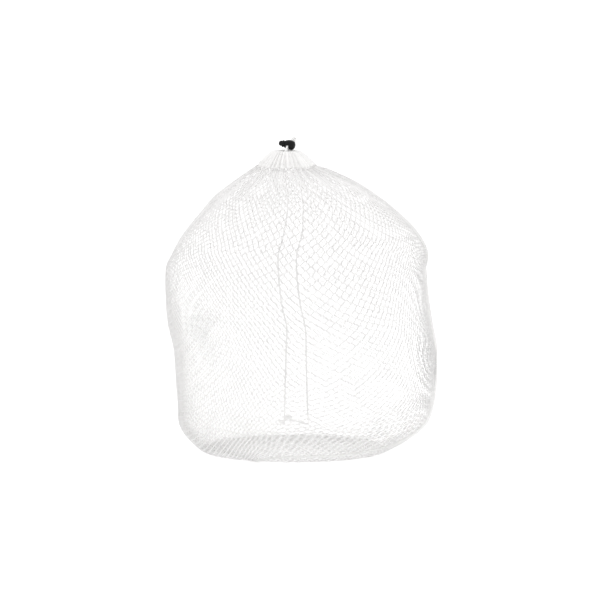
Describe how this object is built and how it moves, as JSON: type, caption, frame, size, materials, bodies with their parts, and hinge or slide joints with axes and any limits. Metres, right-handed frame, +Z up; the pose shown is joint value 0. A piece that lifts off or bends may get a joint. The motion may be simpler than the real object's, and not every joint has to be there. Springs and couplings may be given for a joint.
{
  "type": "laundry bag",
  "caption": "Drawstring laundry bag of open mesh net, standing filled, its mouth gathered shut on a cord with a spring cord lock",
  "frame": {"origin": "centre of the bag's own bounding box at the floor it stands on, without the free cord", "axes": "+Z up, through the gathered mouth; -Y the front; +X to the right seen from the front"},
  "size_m": [0.3993, 0.4682, 0.4598],
  "materials": {
    "net": "open knitted polyester mesh, white, matte",
    "seam_binding": "overlocked seam of the same net, white, matte",
    "hem_cloth": "turned and gathered cord casing, white, matte",
    "cord": "braided polyester cord, white",
    "lock_plastic": "moulded black plastic, soft gloss",
    "spring_steel": "bright spring wire"
  },
  "bodies": {
    "bag": {"net_front_panel": "net", "net_back_panel": "net", "side_seam_right": "seam_binding", "side_seam_left": "seam_binding", "bottom_seam": "seam_binding", "mouth_hem": "hem_cloth", "drawcord": "cord", "cord_tail_left": "cord", "cord_tail_right": "cord", "cord_end_knot": "cord"},
    "lock": {"cord_lock_body": "lock_plastic", "cord_lock_spring": "spring_steel"},
    "plunger": {"cord_lock_plunger": "lock_plastic"}
  },
  "joints": [
    {"name": "cord_lock_slide", "type": "slide", "parent": "bag", "child": "lock", "axis": [0.389, 0.7769, 0.4952], "range_m": [0, 0.005]},
    {"name": "plunger_press", "type": "slide", "parent": "lock", "child": "plunger", "axis": [0.9182, -0.371, -0.1392], "range_m": [0, 0.003], "stiffness_N_per_m": 600, "springref_m": -0.003, "deforming": ["cord_lock_spring"]}
  ]
}
